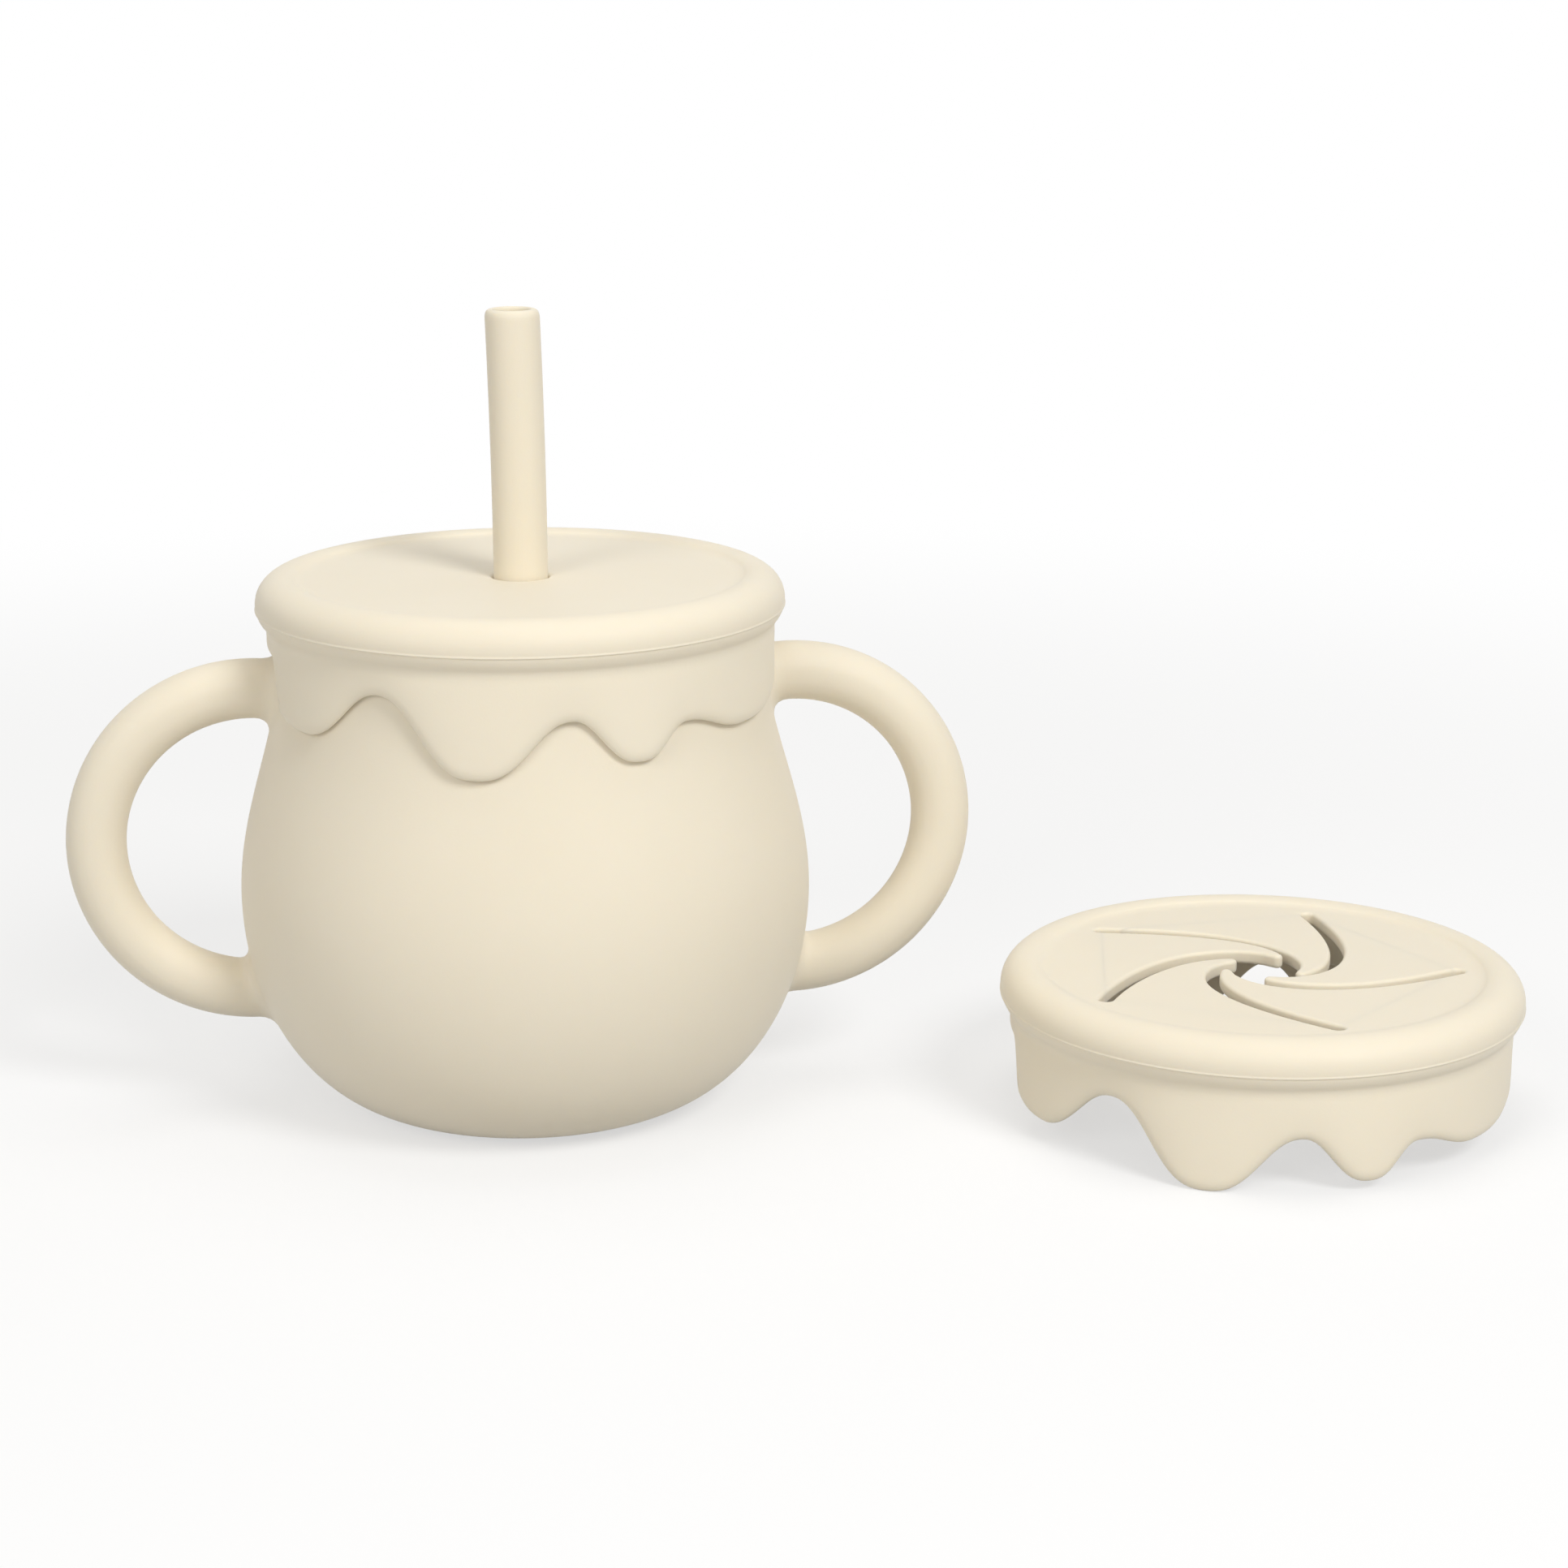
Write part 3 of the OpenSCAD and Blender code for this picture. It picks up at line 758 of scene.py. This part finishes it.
def siliconeMaterial(name, offset=0.0):
    look = siliconeLook
    material = bpy.data.materials.new(name)
    material.use_nodes = True
    tree = material.node_tree
    nodes, link = tree.nodes, tree.links.new
    shader = nodes["Principled BSDF"]
    coords = nodes.new("ShaderNodeTexCoord")
    place = nodes.new("ShaderNodeMapping")
    place.inputs["Location"].default_value = (offset, offset, offset)
    link(coords.outputs["Object"], place.inputs["Vector"])

    def noise(scale, detail, rough=0.5):
        made = nodes.new("ShaderNodeTexNoise")
        made.inputs["Scale"].default_value = scale
        made.inputs["Detail"].default_value = detail
        made.inputs["Roughness"].default_value = rough
        link(place.outputs["Vector"], made.inputs["Vector"])
        return made.outputs["Fac"]

    def bump(strength, depth, height):
        made = nodes.new("ShaderNodeBump")
        made.inputs["Strength"].default_value = strength
        made.inputs["Distance"].default_value = depth
        link(height, made.inputs["Height"])
        return made

    cloud = nodes.new("ShaderNodeMix")
    cloud.data_type = "RGBA"
    cloud.inputs["A"].default_value = (*look["deep"], 1)
    cloud.inputs["B"].default_value = (*look["pale"], 1)
    link(noise(look["cloudScale"], look["cloudDetail"]), cloud.inputs["Factor"])
    link(cloud.outputs["Result"], shader.inputs["Base Color"])

    rough = nodes.new("ShaderNodeMapRange")
    rough.inputs["To Min"].default_value = look["roughLow"]
    rough.inputs["To Max"].default_value = look["roughHigh"]
    link(noise(look["waveScale"], look["fineDetail"]), rough.inputs["Value"])
    link(rough.outputs["Result"], shader.inputs["Roughness"])

    wave = noise(look["waveScale"], look["fineDetail"])
    soft = bump(look["waveStrength"], look["waveDepth"], wave)
    fine = noise(look["grainScale"], look["fineDetail"], look["grainRough"])
    grain = bump(look["grainStrength"], look["grainDepth"], fine)
    link(soft.outputs["Normal"], grain.inputs["Normal"])
    link(grain.outputs["Normal"], shader.inputs["Normal"])

    shader.inputs["IOR"].default_value = look["ior"]
    shader.inputs["Specular IOR Level"].default_value = look["shine"]
    shader.inputs["Sheen Weight"].default_value = look["sheen"]
    shader.inputs["Sheen Roughness"].default_value = look["sheenRough"]
    shader.inputs["Subsurface Weight"].default_value = look["scatter"]
    shader.inputs["Subsurface Radius"].default_value = look["scatterTint"]
    shader.inputs["Subsurface Scale"].default_value = look["scatterDepth"]
    return material


# floor, light and camera

stageLook = dict(
    floorRadius=4.0, floorColumns=96, floorTone=0.94, bounceTone=0.62, whiteShare=0.60,
    shadowZone=(0.20, 0.55), roomTone=(1.0, 0.975, 0.93), roomStrength=0.37,
    lampAim=(0.04, -0.01, 0.045),
)
lampSet = [
    dict(name="keyLamp", at=(0.52, -0.88, 0.92), size=0.50, power=8.7, tint=(0.99, 0.995, 1.0)),
    dict(name="fillLamp", at=(-0.70, -0.80, 0.62), size=0.55, power=3.2, tint=(1.0, 0.985, 0.96)),
    dict(name="topLamp", at=(0.05, 0.15, 1.15), size=0.80, power=2.7, tint=(0.98, 0.99, 1.0)),
]


def seenDirectly(tree):
    # 1 for rays from the camera, mirrors and glass, 0 for the light that the surface sends round
    nodes, link = tree.nodes, tree.links.new
    path = nodes.new("ShaderNodeLightPath")
    total = path.outputs["Is Camera Ray"]
    for name in ("Is Glossy Ray", "Is Transmission Ray"):
        greater = nodes.new("ShaderNodeMath")
        greater.operation = "MAXIMUM"
        link(total, greater.inputs[0])
        link(path.outputs[name], greater.inputs[1])
        total = greater.outputs[0]
    return total


def mixShaders(tree, share, first, second):
    mix = tree.nodes.new("ShaderNodeMixShader")
    for source, socket in zip((share, first.outputs[0], second.outputs[0]), mix.inputs):
        tree.links.new(source, socket)
    return mix.outputs[0]


def makeRoom():
    # a pale room that lights the pieces, and plain white where the camera sees past the floor
    look = stageLook
    world = bpy.data.worlds.new("room")
    bpy.context.scene.world = world
    world.use_nodes = True
    tree = world.node_tree
    room = tree.nodes["Background"]
    room.inputs["Color"].default_value = (*look["roomTone"], 1)
    room.inputs["Strength"].default_value = look["roomStrength"]
    white = tree.nodes.new("ShaderNodeBackground")
    white.inputs["Color"].default_value = (1, 1, 1, 1)
    white.inputs["Strength"].default_value = 1
    mixed = mixShaders(tree, seenDirectly(tree), room, white)
    tree.links.new(mixed, tree.nodes["World Output"].inputs["Surface"])


def makeFloor():
    # a pale floor that fades to pure white away from the pieces
    look = stageLook
    material = bpy.data.materials.new("paleFloor")
    material.use_nodes = True
    tree = material.node_tree
    nodes, link = tree.nodes, tree.links.new
    nodes.remove(nodes["Principled BSDF"])
    seen = seenDirectly(tree)
    tone = nodes.new("ShaderNodeMapRange")
    tone.inputs["To Min"].default_value = look["bounceTone"]
    tone.inputs["To Max"].default_value = look["floorTone"]
    link(seen, tone.inputs["Value"])
    paint = nodes.new("ShaderNodeBsdfDiffuse")
    link(tone.outputs["Result"], paint.inputs["Color"])
    glow = nodes.new("ShaderNodeEmission")
    glow.inputs["Strength"].default_value = 1
    coords = nodes.new("ShaderNodeTexCoord")
    far = nodes.new("ShaderNodeVectorMath")
    far.operation = "LENGTH"
    link(coords.outputs["Object"], far.inputs[0])
    fade = nodes.new("ShaderNodeMapRange")
    fade.interpolation_type = "SMOOTHSTEP"
    fade.inputs["From Min"].default_value, fade.inputs["From Max"].default_value = look["shadowZone"]
    fade.inputs["To Min"].default_value = look["whiteShare"]
    link(far.outputs["Value"], fade.inputs["Value"])
    share = nodes.new("ShaderNodeMath")
    share.operation = "MULTIPLY"
    link(seen, share.inputs[0])
    link(fade.outputs["Result"], share.inputs[1])
    mixed = mixShaders(tree, share.outputs[0], paint, glow)
    link(mixed, nodes["Material Output"].inputs["Surface"])
    bm = bmesh.new()
    bmesh.ops.create_circle(bm, cap_ends=True, segments=look["floorColumns"],
                            radius=look["floorRadius"])
    floor = newObject(bm, "floor")
    floor.data.materials.append(material)


def makeLamps():
    aim = Vector(stageLook["lampAim"])
    for lamp in lampSet:
        data = bpy.data.lights.new(lamp["name"], "AREA")
        data.shape = "DISK"
        data.size = lamp["size"]
        data.energy = lamp["power"]
        data.color = lamp["tint"]
        made = bpy.data.objects.new(lamp["name"], data)
        made.location = lamp["at"]
        made.rotation_euler = (aim - Vector(lamp["at"])).to_track_quat("-Z", "Y").to_euler()
        made.visible_camera = False
        bpy.context.scene.collection.objects.link(made)


cameraShape = dict(
    distance=550.0, elevation=15.2, azimuth=-4.4, target=(0, 0, 45), aim=(41, -8, 52),
    fieldWidth=252.0, sensorWidth=36.0, clipStart=10.0,
)


def makeCamera():
    c = cameraShape
    e, a = radians(c["elevation"]), radians(c["azimuth"])
    back = Vector((sin(a) * cos(e), -cos(a) * cos(e), sin(e)))
    place = (Vector(c["target"]) + back * c["distance"]) * mm
    look = Vector(c["aim"]) * mm - place
    data = bpy.data.cameras.new("camera")
    data.sensor_width = c["sensorWidth"]
    data.lens = c["sensorWidth"] * look.length / (c["fieldWidth"] * mm)
    data.clip_start = c["clipStart"] * mm
    camera = bpy.data.objects.new("camera", data)
    camera.location = place
    camera.rotation_euler = look.to_track_quat("-Z", "Y").to_euler()
    bpy.context.scene.collection.objects.link(camera)
    bpy.context.scene.camera = camera


bpy.context.scene.view_settings.view_transform = "Standard"
makeCamera()
makeRoom()
makeFloor()
makeLamps()
print("stage, lamps and camera are in place")
makeCup(siliconeMaterial("cupSilicone"))
lidSilicone = siliconeMaterial("lidSilicone", offset=0.3)
makeStrawLid(lidSilicone)
makeStraw(siliconeMaterial("strawSilicone", offset=0.7))
makeSnackLid(lidSilicone)
